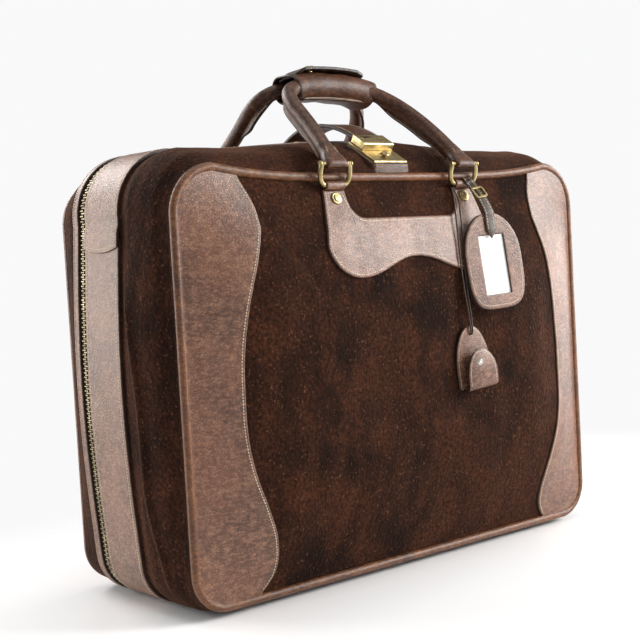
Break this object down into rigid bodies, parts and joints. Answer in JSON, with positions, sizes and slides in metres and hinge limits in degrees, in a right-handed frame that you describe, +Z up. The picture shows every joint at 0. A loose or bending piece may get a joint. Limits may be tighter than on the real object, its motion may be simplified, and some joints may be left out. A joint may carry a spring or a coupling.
{
  "type": "suitcase",
  "caption": "Soft-sided suede and leather suitcase with a zip round three sides, lock strap on top, wrapped twin handles on shackle rings, luggage tag and key pouch.",
  "frame": {"origin": "on the ground under the middle of the case", "axes": "+Z up, -Y towards the front panel with the tag, +X to the right seen from the front"},
  "size_m": [0.618, 0.2812, 0.5481],
  "materials": {
    "suede": "napped suede, matte",
    "leather": "grained, satin, worn",
    "dark_leather": "smooth, satin",
    "piping_leather": "smooth, worn",
    "brass": "polished, slightly worn",
    "nickel": "polished",
    "zip_tape": "woven, matte",
    "board": "plain fibreboard",
    "lining": "woven cotton",
    "card": "plain white card"
  },
  "bodies": {
    "base": {"front_panel": "suede", "front_board": "board", "front_side_panels": "leather", "front_handle_patch": "leather", "front_rivets": "brass", "front_piping": "piping_leather", "front_gusset": "suede", "zip_band_sides": "leather", "zip_band_top": "leather", "base_frame": "board", "base_lining": "lining", "zip_tape_front": "zip_tape", "zip_teeth_front": "brass", "front_feet": "brass", "lock_pad": "leather", "lock_plate": "brass", "lock_screws": "brass", "hinge_strip": "leather"},
    "lid": {"rear_panel": "suede", "rear_board": "board", "rear_side_panels": "leather", "rear_handle_patch": "leather", "rear_rivets": "brass", "rear_piping": "piping_leather", "rear_gusset": "suede", "zip_band_rear": "leather", "lid_frame": "board", "lid_lining": "lining", "zip_tape_rear": "zip_tape", "zip_teeth_rear": "brass", "rear_feet": "brass", "strap_anchor": "leather"},
    "front_ring_pair": {"front_rings": "brass", "front_ring_pins": "brass"},
    "front_grip": {"front_handle": "leather", "front_handle_ends": "leather", "handle_wrap": "leather", "wrap_stud": "brass"},
    "wrap_cover": {"wrap_flap": "dark_leather", "wrap_snap": "brass"},
    "rear_ring_pair": {"rear_rings": "brass", "rear_ring_pins": "brass"},
    "rear_grip": {"rear_handle": "leather", "rear_handle_ends": "leather"},
    "strap": {"lock_strap": "leather", "lock_hasp": "brass"},
    "knob": {"lock_knob": "brass"},
    "slider_left": {"zip_slider_left": "brass"},
    "slider_right": {"zip_slider_right": "brass"},
    "pull_left": {"zip_pull_left": "brass"},
    "pull_right": {"zip_pull_right": "brass"},
    "tag": {"tag_body": "leather", "tag_card": "card", "tag_strap": "dark_leather", "tag_buckle": "brass"},
    "key_pouch": {"key_lace": "dark_leather", "pouch_body": "leather"},
    "pouch_cover": {"pouch_flap": "leather", "pouch_snap": "nickel"}
  },
  "joints": [
    {"name": "lid_open", "type": "hinge", "parent": "base", "child": "lid", "pos_m": [0, 0.05425, 0.0036], "axis": [-1, 0, 0], "range_deg": [0, 160], "deforming": ["hinge_strip", "zip_teeth_front", "zip_teeth_rear"]},
    {"name": "front_ring_tilt", "type": "hinge", "parent": "base", "child": "front_ring_pair", "pos_m": [0, -0.09875, 0.411], "axis": [1, 0, 0], "range_deg": [0, 60]},
    {"name": "front_grip_tilt", "type": "hinge", "parent": "front_ring_pair", "child": "front_grip", "pos_m": [0, -0.10295, 0.4326], "axis": [1, 0, 0], "range_deg": [0, 120], "deforming": ["handle_wrap"]},
    {"name": "rear_ring_tilt", "type": "hinge", "parent": "lid", "child": "rear_ring_pair", "pos_m": [0, 0.11725, 0.411], "axis": [-1, 0, 0], "range_deg": [0, 60]},
    {"name": "rear_grip_tilt", "type": "hinge", "parent": "rear_ring_pair", "child": "rear_grip", "pos_m": [0, 0.12145, 0.4326], "axis": [-1, 0, 0], "range_deg": [0, 120]},
    {"name": "wrap_cover_lift", "type": "hinge", "parent": "front_grip", "child": "wrap_cover", "pos_m": [0, 0.02265, 0.54205], "axis": [-1, 0, 0], "range_deg": [0, 100]},
    {"name": "strap_lift", "type": "hinge", "parent": "lid", "child": "strap", "pos_m": [0, 0.09835, 0.44399], "axis": [-1, 0, 0], "range_deg": [0, 14]},
    {"name": "knob_slide", "type": "slide", "parent": "base", "child": "knob", "axis": [0, 0.8499, 0.527], "range_m": [0, 0.007], "stiffness_N_per_m": 60},
    {"name": "zip_run_left", "type": "slide", "parent": "base", "child": "slider_left", "axis": [-0.9988, 0, -0.0489], "range_m": [0, 0.2]},
    {"name": "zip_run_right", "type": "slide", "parent": "base", "child": "slider_right", "axis": [0.9988, 0, -0.0489], "range_m": [0, 0.2]},
    {"name": "pull_tilt_left", "type": "hinge", "parent": "slider_left", "child": "pull_left", "pos_m": [-0.0141, 0.05425, 0.46843], "axis": [0, 1, 0], "range_deg": [0, 45]},
    {"name": "pull_tilt_right", "type": "hinge", "parent": "slider_right", "child": "pull_right", "pos_m": [0.0141, 0.05425, 0.46843], "axis": [0, -1, 0], "range_deg": [0, 45]},
    {"name": "tag_swing", "type": "hinge", "parent": "base", "child": "tag", "pos_m": [0.0995, -0.10075, 0.4166], "axis": [0, -1, 0], "range_deg": [0, 30], "deforming": ["tag_strap"]},
    {"name": "pouch_swing", "type": "hinge", "parent": "base", "child": "key_pouch", "pos_m": [0.0784, -0.09875, 0.4072], "axis": [0, 1, 0], "range_deg": [0, 25]},
    {"name": "pouch_cover_open", "type": "hinge", "parent": "key_pouch", "child": "pouch_cover", "pos_m": [0.07359, -0.12407, 0.18619], "axis": [0.9907, -0.0867, 0.1045], "range_deg": [0, 90]}
  ]
}
